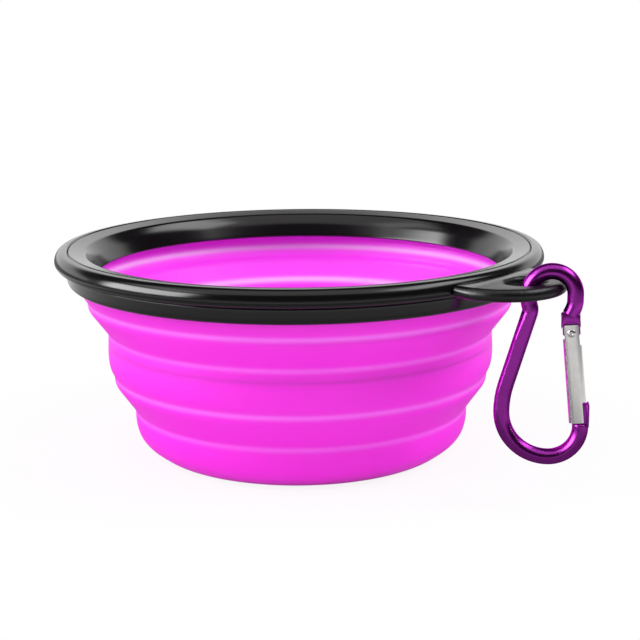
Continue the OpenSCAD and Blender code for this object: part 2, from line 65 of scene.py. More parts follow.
class Slot(Enum):
    """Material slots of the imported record."""

    RIM = "rim_plastic"
    SILICONE = "silicone"
    PURPLE = "purple_metal"
    STEEL = "bright_steel"
    SPRING = "spring_steel"


class Body(Enum):
    """Bodies that the joints move."""

    RIM = "rim"
    MIDDLE = "middle"
    BASE = "base"
    CLIP = "clip"
    GATE = "gate"


class Cut(Enum):
    """What a solid does to another one."""

    ADD = "UNION"
    TAKE = "DIFFERENCE"
    KEEP_COMMON = "INTERSECT"


# Shader maths


class Wire:
    """A shader value that can be used in Python sums."""

    def __init__(self, graph: "Graph", socket: NodeSocket) -> None:
        """Keeps the socket and the graph that it belongs to."""
        self.graph = graph
        self.socket = socket

    def _sum(self, operation: str, *values: Any) -> "Wire":
        """Adds one Math node and returns its result."""
        node = self.graph.add("ShaderNodeMath", {"operation": operation}, dict(enumerate(values)))
        return Wire(self.graph, node.outputs[0])

    def __add__(self, other: Any) -> "Wire":
        """self + other"""
        return self._sum("ADD", self, other)

    __radd__ = __add__

    def __sub__(self, other: Any) -> "Wire":
        """self - other"""
        return self._sum("SUBTRACT", self, other)

    def __rsub__(self, other: Any) -> "Wire":
        """other - self"""
        return self._sum("SUBTRACT", other, self)

    def __mul__(self, other: Any) -> "Wire":
        """self * other"""
        return self._sum("MULTIPLY", self, other)

    __rmul__ = __mul__

    def __truediv__(self, other: Any) -> "Wire":
        """self / other"""
        return self._sum("DIVIDE", self, other)

    def __rtruediv__(self, other: Any) -> "Wire":
        """other / self"""
        return self._sum("DIVIDE", other, self)

    def __abs__(self) -> "Wire":
        """abs(self)"""
        return self._sum("ABSOLUTE", self)

    def clamped(self) -> "Wire":
        """The value held between 0 and 1."""
        return self._sum("MINIMUM", self._sum("MAXIMUM", self, 0.0), 1.0)

    def band(self, middle: float, half_width: float) -> "Wire":
        """1 at the middle, falling to 0 at half_width on either side.

        Args:
            middle: value at which the band is strongest.
            half_width: distance at which it has gone.

        Returns:
            The band's strength.
        """
        return (1.0 - abs(self - middle) / half_width).clamped()


class Nodes:
    """A node tree that one method fills."""

    tree: NodeTree

    def add(self, kind: str, settings: dict[str, Any], values: dict[Any, Any]) -> Node:
        """Adds a node, sets it up and joins its inputs.

        Args:
            kind: the node's type.
            settings: its own properties, set first.
            values: numbers, colours, sockets or wires, by input name or number.

        Returns:
            The new node.
        """
        node = self.tree.nodes.new(kind)
        for key, value in settings.items():
            setattr(node, key, value)
        for key, value in values.items():
            if isinstance(value, Wire):
                value = value.socket
            if isinstance(value, NodeSocket):
                self.tree.links.new(value, node.inputs[key])
            else:
                node.inputs[key].default_value = value
        return node


class Graph(Nodes):
    """The node tree of a material or a world."""

    def __init__(self, name: str, world: bool = False) -> None:
        """Makes an empty material or world."""
        self.material = bpy.data.worlds.new(name) if world else bpy.data.materials.new(name)
        self.material.use_nodes = True
        self.tree = self.material.node_tree
        self.tree.nodes.clear()

    def place(self) -> NodeSocket:
        """Object coordinates."""
        return self.add("ShaderNodeTexCoord", {}, {}).outputs["Object"]

    def noise(self, scale: float, detail: float = 2.0) -> Wire:
        """Soft noise on object coordinates, from 0 to 1."""
        values = {"Vector": self.place(), "Scale": scale, "Detail": detail}
        return Wire(self, self.add("ShaderNodeTexNoise", {}, values).outputs[0])

    def uneven(self, level: Any, scale: float, amount: float) -> Wire:
        """A level that soft patches raise and lower by half the amount."""
        return level + (self.noise(scale) - 0.5) * amount

    def bump(self, height: Wire, strength: float, distance: float) -> NodeSocket:
        """A surface normal that follows a height."""
        values = {"Height": height, "Strength": strength, "Distance": distance}
        return self.add("ShaderNodeBump", {}, values).outputs[0]

    def rays(self, *kinds: str) -> Wire:
        """1 for rays of the named kinds, else 0."""
        path = self.add("ShaderNodeLightPath", {}, {}).outputs
        total = Wire(self, path[f"Is {kinds[0]} Ray"])
        for kind in kinds[1:]:
            total = total + Wire(self, path[f"Is {kind} Ray"])
        return total.clamped()

    def mark(self, name: str) -> Wire:
        """A number kept on the mesh's points."""
        node = self.add("ShaderNodeAttribute", {"attribute_name": name}, {})
        return Wire(self, node.outputs["Fac"])

    def vector(self, operation: str, *values: Any) -> Wire:
        """The number that one Vector Math node gives."""
        node = self.add("ShaderNodeVectorMath", {"operation": operation}, dict(enumerate(values)))
        return Wire(self, node.outputs["Value"])

    def blend(self, share: Any, first: Any, second: Any) -> NodeSocket:
        """A colour between first and second, by the Mix node's colour sockets 6 and 7."""
        return self.add("ShaderNodeMix", {"data_type": "RGBA"}, {0: share, 6: first, 7: second}).outputs[2]

    def finish(self, **values: Any) -> Material:
        """Adds the surface shader and the output.

        Args:
            **values: the shader's inputs, with spaces written as underscores.

        Returns:
            The finished material.
        """
        inputs = {key.replace("_", " "): value for key, value in values.items()}
        shader = self.add("ShaderNodeBsdfPrincipled", {}, inputs)
        self.add("ShaderNodeOutputMaterial", {}, {"Surface": shader.outputs[0]})
        return self.material


def rgb(red: int, green: int, blue: int) -> Colour:
    """A colour written as screen values, turned to linear light."""
    def linear(value: int) -> float:
        """One channel."""
        share = value / 255
        return share / 12.92 if share <= 0.04045 else ((share + 0.055) / 1.055) ** 2.4
    return linear(red), linear(green), linear(blue), 1.0


@dataclass(frozen=True)
class SiliconeFinish:
    """Satin magenta silicone. Its paler fold lines are partly the thinned wall and partly painted
    highlight, its inside is a lighter copy of the colour as painted light, and its pale inner lines are
    painted highlights.
    """

    body: Colour = rgb(246, 44, 226)
    # Colour of the fold bands: partly the thinned wall, partly painted highlight.
    fold_and_painted_highlight: Colour = rgb(255, 120, 250)
    # Lighter copy of the body colour for the inner side: painted light.
    inside: Colour = rgb(252, 82, 246)
    # Colour of the pale inner lines: painted highlight.
    painted_inner_highlight: Colour = rgb(255, 190, 255)
    roughness: float = 0.42
    patch_scale: float = 60.0
    patch_amount: float = 0.08
    grain_scale: float = 900.0
    grain_strength: float = 0.03
    grain_height: float = 0.0002
    specular: float = 0.35
    scatter: float = 0.4
    scatter_radius: Triple = (1.0, 0.25, 0.9)
    scatter_scale: float = 0.005

    def material(self) -> Material:
        """Builds the shader."""
        g = Graph("silicone_magenta")
        # Painted light: the fold bands and inner lines mix towards painted highlight colours, and the inner
        # side takes a lighter painted-lit colour.
        outer = g.blend(g.mark("fold_and_painted_highlight"), self.body, self.fold_and_painted_highlight)
        inner = g.blend(g.mark("fold_and_painted_highlight"), self.inside, self.painted_inner_highlight)
        return g.finish(
            Base_Color=g.blend(g.mark("inner_side"), outer, inner),
            Normal=g.bump(g.noise(self.grain_scale), self.grain_strength, self.grain_height),
            Roughness=g.uneven(self.roughness, self.patch_scale, self.patch_amount),
            Specular_IOR_Level=self.specular, Subsurface_Weight=self.scatter,
            Subsurface_Radius=self.scatter_radius, Subsurface_Scale=self.scatter_scale)


@dataclass(frozen=True)
class RimFinish:
    """Glossy black moulded plastic, with a grained surface on the tab, which starts at an X in metres."""

    body: Colour = rgb(12, 10, 12)
    roughness: float = 0.17
    patch_scale: float = 180.0
    patch_amount: float = 0.05
    tab_roughness: float = 0.36
    tab_start: float = 0.067
    tab_edge: float = 0.002
    grain_scale: float = 1400.0
    grain_strength: float = 0.35
    grain_height: float = 0.0002
    specular: float = 0.5

    def material(self) -> Material:
        """Builds the shader."""
        g = Graph("rim_black")
        across = Wire(g, g.add("ShaderNodeSeparateXYZ", {}, {0: g.place()}).outputs["X"])
        tab = ((across - self.tab_start) / self.tab_edge).clamped()
        level = self.roughness + tab * (self.tab_roughness - self.roughness)
        return g.finish(
            Base_Color=self.body, Specular_IOR_Level=self.specular,
            Normal=g.bump(g.noise(self.grain_scale) * tab, self.grain_strength, self.grain_height),
            Roughness=g.uneven(level, self.patch_scale, self.patch_amount))


@dataclass(frozen=True)
class MetalFinish:
    """Bare or anodised metal, with its own tint where it is seen edge on."""

    name: str
    body: Colour
    roughness: float
    patch_scale: float = 700.0
    patch_amount: float = 0.12
    edge: Colour = WHITE

    def material(self) -> Material:
        """Builds the shader."""
        g = Graph(self.name)
        return g.finish(Base_Color=self.body, Metallic=1.0, Specular_Tint=self.edge,
                        Roughness=g.uneven(self.roughness, self.patch_scale, self.patch_amount))


# Outlines


def unit(vector: Vector) -> Vector:
    """The vector at length 1."""
    return vector.normalized()


def bend(a: Vector, b: Vector, c: Vector, cut: float, steps: int) -> list[Vector]:
    """Points of a rounded corner at b, between a and c.

    Args:
        a, b, c: the corner and its neighbours.
        cut: how far from b the round starts.
        steps: stretches of the round.

    Returns:
        The round's points.
    """
    p = b + unit(a - b) * min(cut, (a - b).length / 2)
    q = b + unit(c - b) * min(cut, (c - b).length / 2)
    shares = (i / steps for i in range(steps + 1))
    return [p * (1 - t) ** 2 + b * (2 * t * (1 - t)) + q * t ** 2 for t in shares]


def rounded(path: Sequence[Triple], steps: int = 12) -> list[Vector]:
    """A path of (radius, height, cut) corners with its corners rounded."""
    flat = [Vector((p[0], p[1])) for p in path]
    points: list[Vector] = []
    for i, corner in enumerate(path):
        if i in (0, len(path) - 1) or corner[2] == 0:
            points.append(flat[i])
        else:
            points.extend(bend(flat[i - 1], flat[i], flat[i + 1], corner[2], steps))
    return points


def moved(path: Sequence[Triple], wall: float, least: float = 0.5) -> list[Triple]:
    """The same path, moved inwards by a wall; least holds back how far a sharp corner goes."""
    flat = [Vector((p[0], p[1])) for p in path]
    sides = [unit(Vector((a.y - b.y, b.x - a.x))) for a, b in zip(flat, flat[1:])]
    out: list[Triple] = []
    for i, point in enumerate(flat):
        ahead = sides[min(i, len(sides) - 1)]
        behind = sides[max(i - 1, 0)]
        normal = unit(ahead + behind)
        reach = wall / max(normal.dot(ahead), least)
        out.append((point.x + normal.x * reach, point.y + normal.y * reach, path[i][2]))
    return out


def resampled(points: Sequence[Vector], step: float) -> list[Vector]:
    """The same line with extra points, so that none lie further apart than step."""
    out = [points[0]]
    for a, b in zip(points, points[1:]):
        length = (b - a).length
        if length < 1e-6:
            continue
        parts = max(1, math.ceil(length / step))
        out.extend(a.lerp(b, k / parts) for k in range(1, parts + 1))
    return out


def between(points: Sequence[Vector], low: float, high: float) -> list[Vector]:
    """The stretch of a rising line between two heights, ends included."""
    out: list[Vector] = []
    for a, b in zip(points, points[1:]):
        for height in (low, high):
            if a.y < height <= b.y:
                out.append(a.lerp(b, (height - a.y) / (b.y - a.y)))
        if low < b.y < high and b.y > a.y - 1e-9:
            out.append(b)
    return sorted(out, key=lambda p: p.y) if out else out


def oval(centre: Point2, size: Point2, start: float, end: float, steps: int = 20) -> list[Vector]:
    """Points of an oval's arc, between two angles in degrees."""
    angles = (math.radians(start + (end - start) * i / steps) for i in range(steps + 1))
    return [Vector((centre[0] + size[0] * math.cos(a), centre[1] + size[1] * math.sin(a))) for a in angles]


def arc(centre: Sequence[float], radius: float, start: float, end: float, steps: int) -> list[Vector]:
    """Points of a circle's arc, between two angles in degrees."""
    return oval((centre[0], centre[1]), (radius, radius), start, end, steps)


def toward(angle: float, length: float) -> Vector:
    """A step of a given length at an angle in degrees."""
    return Vector((math.cos(math.radians(angle)), math.sin(math.radians(angle)))) * length


# Node trees


class Tree(Nodes):
    """A Geometry Nodes tree with named inputs."""

    def __init__(self, name: str, inputs: dict[str, str]) -> None:
        """Makes the tree.

        Args:
            name: the tree's name.
            inputs: socket type by input name; the geometry comes first by itself.
        """
        self.tree = bpy.data.node_groups.new(name, "GeometryNodeTree")
        face = self.tree.interface
        face.new_socket("Geometry", in_out="INPUT", socket_type="NodeSocketGeometry")
        self.keys = {
            n: face.new_socket(n, in_out="INPUT", socket_type=t).identifier for n, t in inputs.items()}
        face.new_socket("Geometry", in_out="OUTPUT", socket_type="NodeSocketGeometry")
        self.source = self.tree.nodes.new("NodeGroupInput")

    def sums(self, operation: str, first: Any, second: Any = 0.0) -> NodeSocket:
        """One Math node's result."""
        return self.add("ShaderNodeMath", {"operation": operation}, {0: first, 1: second}).outputs[0]

    def close(self, geometry: NodeSocket) -> None:
        """Ends the tree with real geometry and its material."""
        real = self.add("GeometryNodeRealizeInstances", {}, {0: geometry})
        painted = self.add("GeometryNodeSetMaterial", {}, {
            0: real.outputs[0], "Material": self.source.outputs["Material"]})
        last = self.tree.nodes.new("NodeGroupOutput")
        self.tree.links.new(painted.outputs[0], last.inputs[0])

    def run(self, obj: Object, **values: Any) -> Mesh:
        """Runs the tree on an object and returns a plain mesh.

        Args:
            obj: the object that gives the tree its geometry; it is removed.
            **values: the tree's inputs, by name.

        Returns:
            The mesh that the tree makes.
        """
        modifier = obj.modifiers.new("shape", "NODES")
        modifier.node_group = self.tree
        for name, value in values.items():
            modifier[self.keys[name]] = value
        depsgraph = bpy.context.evaluated_depsgraph_get()
        mesh = bpy.data.meshes.new_from_object(obj.evaluated_get(depsgraph))
        bpy.data.objects.remove(obj)
        return mesh


def lathe_tree() -> Tree:
    """A tree that turns an outline of points about Z."""
    tree = Tree("turned_ring", {"Segments": "NodeSocketInt", "Material": "NodeSocketMaterial"})
    outline, segments = tree.source.outputs["Geometry"], tree.source.outputs["Segments"]
    count = tree.add("GeometryNodeAttributeDomainSize", {"component": "MESH"}, {0: outline}).outputs[0]
    columns = tree.sums("ADD", segments, 1.0)
    grid = tree.add("GeometryNodeMeshGrid", {}, {"Vertices X": columns, "Vertices Y": count}).outputs[0]
    index = tree.add("GeometryNodeInputIndex", {}, {}).outputs[0]
    column = tree.sums("FLOOR", tree.sums("DIVIDE", index, count))
    row = tree.sums("SUBTRACT", index, tree.sums("MULTIPLY", column, count))
    place = tree.add("GeometryNodeInputPosition", {}, {}).outputs[0]
    sample = tree.add("GeometryNodeSampleIndex", {"data_type": "FLOAT_VECTOR"}, {
        0: outline, 1: place, "Index": row})
    angle = tree.sums("DIVIDE", tree.sums("MULTIPLY", column, math.tau), segments)
    turned = tree.add("ShaderNodeVectorRotate", {"rotation_type": "Z_AXIS"}, {
        "Vector": sample.outputs[0], "Angle": angle})
    solid = tree.add("GeometryNodeSetPosition", {}, {0: grid, "Position": turned.outputs[0]})
    closed = tree.add("GeometryNodeMergeByDistance", {}, {0: solid.outputs[0], "Distance": 1e-6})
    tree.close(closed.outputs[0])
    return tree


def rod_tree() -> Tree:
    """A tree that draws a round rod along a line of points."""
    tree = Tree("bent_rod", {
        "Radius": "NodeSocketFloat", "Sides": "NodeSocketInt", "Material": "NodeSocketMaterial"})
    line = tree.add("GeometryNodeMeshToCurve", {}, {0: tree.source.outputs["Geometry"]}).outputs[0]
    ring = tree.add("GeometryNodeCurvePrimitiveCircle", {}, {
        "Resolution": tree.source.outputs["Sides"], "Radius": tree.source.outputs["Radius"]}).outputs[0]
    tube = tree.add("GeometryNodeCurveToMesh", {}, {0: line, 1: ring, "Fill Caps": True}).outputs[0]
    tree.close(tube)
    return tree


def coil_tree() -> Tree:
    """A tree that winds a wire into a coil about Z."""
    tree = Tree("wound_coil", {
        "Turns": "NodeSocketFloat", "Coil Radius": "NodeSocketFloat", "Height": "NodeSocketFloat",
        "Wire Radius": "NodeSocketFloat", "Material": "NodeSocketMaterial"})
    get = tree.source.outputs
    spiral = tree.add("GeometryNodeCurveSpiral", {}, {
        "Resolution": 24, "Rotations": get["Turns"], "Start Radius": get["Coil Radius"],
        "End Radius": get["Coil Radius"], "Height": get["Height"]}).outputs[0]
    ring = tree.add("GeometryNodeCurvePrimitiveCircle", {}, {
        "Resolution": 10, "Radius": get["Wire Radius"]}).outputs[0]
    wire = tree.add("GeometryNodeCurveToMesh", {}, {0: spiral, 1: ring, "Fill Caps": True}).outputs[0]
    tree.close(wire)
    return tree


class Workshop:
    """Makes meshes from outlines, lines and solids, and finishes objects."""

    def __init__(self) -> None:
        """Builds the shared node trees."""
        self.lathe = lathe_tree()
        self.rod = rod_tree()
        self.coil = coil_tree()

    @staticmethod
    def show(name: str, mesh: Mesh) -> Object:
        """Puts a mesh in the scene as an object."""
        obj = bpy.data.objects.new(name, mesh)
        bpy.context.scene.collection.objects.link(obj)
        return obj

    def points(self, places: Sequence[Vector], joined: bool) -> Object:
        """A helper object of bare points, or of points joined in a line."""
        mesh = bpy.data.meshes.new("line")
        edges = [(i, i + 1) for i in range(len(places) - 1)] if joined else []
        mesh.from_pydata([tuple(p) for p in places], edges, [])
        return self.show("line", mesh)

    def turn(self, outline: Sequence[Vector], segments: int, material: Material) -> Mesh:
        """Turns a closed outline of (radius, height) in mm about Z.

        Args:
            outline: the outline's points, the first one not repeated.
            segments: steps of the turn.
            material: what the mesh is made of.

        Returns:
            A closed mesh in metres with its faces outwards.
        """
        places = [Vector((p.x * MM, 0.0, p.y * MM)) for p in (*outline, outline[0])]
        mesh = self.lathe.run(self.points(places, False), Segments=segments, Material=material)
        return self.outwards(mesh)

    @staticmethod
    def kept(work: bmesh.types.BMesh, mesh: Mesh | None = None) -> Mesh:
        """Turns every face outwards and keeps the work as a mesh.

        Args:
            work: the faces; it is freed.
            mesh: a mesh to write to, else a new one.

        Returns:
            The mesh.
        """
        bmesh.ops.recalc_face_normals(work, faces=work.faces)
        if mesh is None:
            mesh = bpy.data.meshes.new("solid")
        work.to_mesh(mesh)
        work.free()
        return mesh

    @classmethod
    def outwards(cls, mesh: Mesh) -> Mesh:
        """Merges doubles and turns every face outwards."""
        work = bmesh.new()
        work.from_mesh(mesh)
        bmesh.ops.remove_doubles(work, verts=work.verts, dist=1e-7)
        return cls.kept(work, mesh)

    @staticmethod
    def smooth(mesh: Mesh, angle: float) -> Mesh:
        """Smooths the shading, with sharp edges past an angle in degrees."""
        mesh.shade_smooth()
        mesh.set_sharp_from_angle(angle=math.radians(angle))
        return mesh

    @classmethod
    def loft(cls, rings: Sequence[Sequence[Triple]]) -> Mesh:
        """A closed solid through rings of points, with a flat face on the first and on the last.

        Args:
            rings: the rings, all with the same number of points.

        Returns:
            The mesh, in the unit of the points.
        """
        work = bmesh.new()
        rows = [[work.verts.new(p) for p in ring] for ring in rings]
        for a, b in zip(rows, rows[1:]):
            for k in range(len(a)):
                n = (k + 1) % len(a)
                work.faces.new((a[k], a[n], b[n], b[k]))
        work.faces.new(rows[0][::-1])
        work.faces.new(rows[-1])
        return cls.kept(work)

    @classmethod
    def column(cls, outline: Sequence[Point2], low: float, high: float) -> Mesh:
        """A solid with a given outline across Z, between two heights."""
        return cls.loft([[(x, y, z) for x, y in outline] for z in (low, high)])

    @classmethod
    def pin(cls, radius: float, sides: int = 40, length: float = 8.0) -> Mesh:
        """A round tool along Y, in mm, that bores a hole."""
        work = bmesh.new()
        bmesh.ops.create_cone(work, cap_ends=True, segments=sides, radius1=radius, radius2=radius,
                              depth=length, matrix=Matrix.Rotation(math.pi / 2, 4, "X"))
        return cls.kept(work)

    @classmethod
    def prism(cls, outline: Sequence[Point2], thickness: float, bevel: float, steps: int = 3) -> Mesh:
        """A flat plate about the XZ plane, its thickness along Y, in mm.

        Args:
            outline: the plate's corners, in order.
            thickness: across Y.
            bevel: rounding of its edges.
            steps: stretches of the rounding.

        Returns:
            A closed mesh, still in mm.
        """
        work = bmesh.new()
        face = work.faces.new([work.verts.new((x, -thickness / 2, z)) for x, z in outline])
        grown = bmesh.ops.extrude_face_region(work, geom=[face])
        back = [v for v in grown["geom"] if isinstance(v, bmesh.types.BMVert)]
        bmesh.ops.translate(work, verts=back, vec=(0, thickness, 0))
        bmesh.ops.recalc_face_normals(work, faces=work.faces)
        if bevel > 0:
            rims = [e for e in work.edges if abs(e.verts[0].co.y - e.verts[1].co.y) < 1e-6]
            bmesh.ops.bevel(work, geom=rims, offset=bevel, segments=steps, affect="EDGES", profile=0.5)
        return cls.kept(work)

    def cut(self, first: Mesh, how: Cut, second: Mesh) -> Mesh:
        """Joins or cuts one solid with another, and removes both."""
        a, b = self.show("a", first), self.show("b", second)
        modifier = a.modifiers.new("cut", "BOOLEAN")
        modifier.operation, modifier.object, modifier.solver = how.value, b, "EXACT"
        depsgraph = bpy.context.evaluated_depsgraph_get()
        mesh = bpy.data.meshes.new_from_object(a.evaluated_get(depsgraph))
        bpy.data.objects.remove(a)
        bpy.data.objects.remove(b)
        return mesh

    def dress(self, name: str, mesh: Mesh, material: Material,
              replaced: Sequence[str]) -> Object:
        """Makes a finished piece of a mesh.

        Args:
            name: the piece's name.
            mesh: its mesh, in metres and in place.
            material: what it is made of.
            replaced: the solids that it stands for.

        Returns:
            The piece's object.
        """
        mesh.materials.clear()
        mesh.materials.append(material)
        obj = self.show(name, mesh)
        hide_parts(*replaced)
        LOG.info("%s: %d faces", name, len(mesh.polygons))
        return obj

    def hung(self, name: str, mesh: Mesh, sharp_angle: float, material: Material, slot: Slot,
             node: str, body: Body) -> Object:
        """Makes a finished piece that stands for one solid and rides on one body.

        Args:
            name: the piece's name.
            mesh: its mesh, in metres and in place.
            sharp_angle: edges sharper than this, in degrees, stay sharp.
            material: what it is made of.
            slot: the record's material slot; not used.
            node: the solid that it stands for.
            body: the body that moves it.

        Returns:
            The piece's object.
        """
        obj = self.dress(name, self.smooth(mesh, sharp_angle), material, (node,))
        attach(obj, body.value)
        return obj


# Bowl


@dataclass
class Seat:
    """Sizes in mm that the bowl's bead shares with the rim that clamps it."""

    neck_r: float = 59.4
    skirt_z: float = 46.35
    bead_z: float = 47.4
    bead_r: float = 59.9
    bead_top: float = 51.2


@dataclass
class SiliconeBowl(Seat):
    """The folding bowl, drawn as two shells that meet in the straight of the middle band.

    A pale line has a height and a strength; outside they lie at the hinges, where the wall thins and the
    paleness is partly painted highlight, and inside they are painted highlights.
    """

    foot_r: float = 39.6
    heel: Point2 = (44.1, 3.3)
    cup_r: float = 45.4
    lower_lip_r: float = 50.7
    middle_r: float = 52.3
    waist_r: float = 51.9
    upper_lip_r: float = 57.1
    hinges: tuple[float, float, float, float] = (11.2, 21.0, 33.0, 41.8)
    lip_h: float = 1.8
    shoulder_h: float = 3.4
    wall_t: float = 2.0
    floor_t: float = 2.2
    bead_t: float = 3.0
    bead_rise: float = 1.05
    meeting_z: float = 30.0
    segments: int = 256
    fine_step: float = 0.5
    sharp_angle: float = 60.0
    line_width: float = 0.7
    # Strengths of the outer pale bands at the hinges: partly the thinned wall, partly painted highlight.
    outer_fold_and_painted_highlight: tuple[float, float, float, float] = (0.55, 0.75, 0.6, 0.9)
    # Heights and strengths of the inner pale lines: painted highlights.
    inner_highlight_lines: tuple[Point2, ...] = ((21.0, 0.7), (35.2, 1.0), (44.5, 1.0))
    table_step: float = 0.25
    table_slack: float = 0.1
    finish: SiliconeFinish = SiliconeFinish()

    def path(self) -> list[Triple]:
        """Triples of the outer line, from the middle of the bottom to the bead."""
        h1, h2, h3, h4 = self.hinges
        soft, tight, rise = 2 * self.wall_t, self.wall_t / 2, self.wall_t / 4
        return [
            (0.0, 0.0, 0.0), (self.foot_r, 0.0, tight), (*self.heel, soft),
            (self.cup_r, (self.heel[1] + h1) / 2, soft), (self.cup_r, h1 + rise, tight),
            (self.lower_lip_r, h2 - self.lip_h, tight), (self.lower_lip_r, h2, tight),
            (self.middle_r, h2 + self.shoulder_h, soft), (self.waist_r, h3, tight),
            (self.upper_lip_r, h4 - self.lip_h, tight), (self.upper_lip_r, h4, tight),
            (self.neck_r, h4 + self.shoulder_h, soft), (self.neck_r, self.bead_top, 0.0)]

    def lines(self) -> tuple[list[Vector], list[Vector]]:
        """The outer and the inner line of the wall."""
        path = self.path()
        outer = resampled(rounded(path), self.fine_step)
        inner = resampled(rounded(moved(path, self.wall_t)), self.fine_step)
        inner = [Vector((max(p.x, 0.0), max(p.y, self.floor_t))) for p in inner]
        return outer, inner

    def mark(self, mesh: Mesh) -> None:
        """Notes on each point how near it lies to a pale line, partly painted highlight, and on which side
        of the wall, whose inner side takes a lighter colour of painted light.
        """
        outer = self.lines()[0]
        outer_fold_and_painted_highlight = list(zip(self.hinges, self.outer_fold_and_painted_highlight))
        near = mesh.attributes.new("fold_and_painted_highlight", "FLOAT", "POINT")
        side = mesh.attributes.new("inner_side", "FLOAT", "POINT")
        half, step = self.wall_t / 2, self.table_step

        def wall(z: float) -> float:
            """Middle radius of the wall at a height."""
            for a, b in zip(outer, outer[1:]):
                if a.y <= z <= b.y and b.y > a.y:
                    return a.x + (b.x - a.x) * (z - a.y) / (b.y - a.y) - half
            return 0.0
        table = [wall(step * i) for i in range(int(self.bead_top / step) + 2)]
        for i, vertex in enumerate(mesh.vertices):
            r, z = math.hypot(vertex.co.x, vertex.co.y) / MM, vertex.co.z / MM
            middle = table[min(int(z / step), len(table) - 1)]
            # Inner points get the lighter painted-lit colour and the painted highlight lines.
            inside = r < middle - self.table_slack and z > self.floor_t - SLACK
            pale = self.inner_highlight_lines if inside else outer_fold_and_painted_highlight
            near.data[i].value = max(s * math.exp(-((z - h) / self.line_width) ** 2) for h, s in pale)
            side.data[i].value = 1.0 if inside else 0.0

    def outlines(self) -> tuple[list[Vector], list[Vector]]:
        """Closed outlines of the lower and the upper shell."""
        outer, inner = self.lines()
        low, meet, high = self.floor_t + TINY, self.meeting_z, self.skirt_z
        bottom = [p for p in outer if 0 < p.x < self.foot_r and p.y < TINY]
        floor = [p for p in inner if p.x > 0 and p.y <= low]
        lower = [Vector((0.0, 0.0)), *bottom, *between(outer, TINY, meet),
                 *between(inner, low, meet)[::-1], *floor[::-1], Vector((0.0, self.floor_t))]
        bead_in = self.bead_r - self.bead_t
        bead = [(self.neck_r, self.bead_z), (self.bead_r, self.bead_z), (self.bead_r, self.bead_top),
                (bead_in, self.bead_top), (bead_in, self.bead_z + self.bead_rise)]
        upper = [*between(outer, meet, high), *(Vector(p) for p in bead), *between(inner, meet, high)[::-1]]
        return lower, upper

    def build(self, shop: Workshop) -> list[Object]:
        """Makes both shells."""
        material = self.finish.material()
        lower, upper = self.outlines()
        h1, h2, h3, h4 = self.hinges
        made = []
        for name, outline, nodes, pair, ends in (
                ("bowl_lower_shell", lower, ("base_cup", "lower_fold"), (Body.BASE, Body.MIDDLE), (h1, h2)),
                ("bowl_upper_shell", upper, ("middle_band", "upper_fold", "top_band"),
                 (Body.MIDDLE, Body.RIM), (h3, h4))):
            mesh = shop.smooth(shop.turn(outline, self.segments, material), self.sharp_angle)
            self.mark(mesh)
            obj = shop.dress(name, mesh, material, nodes)
            ends[0] * MM
            ends[1] * MM
            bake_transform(obj)
            made.append(obj)
        return made


# Rim


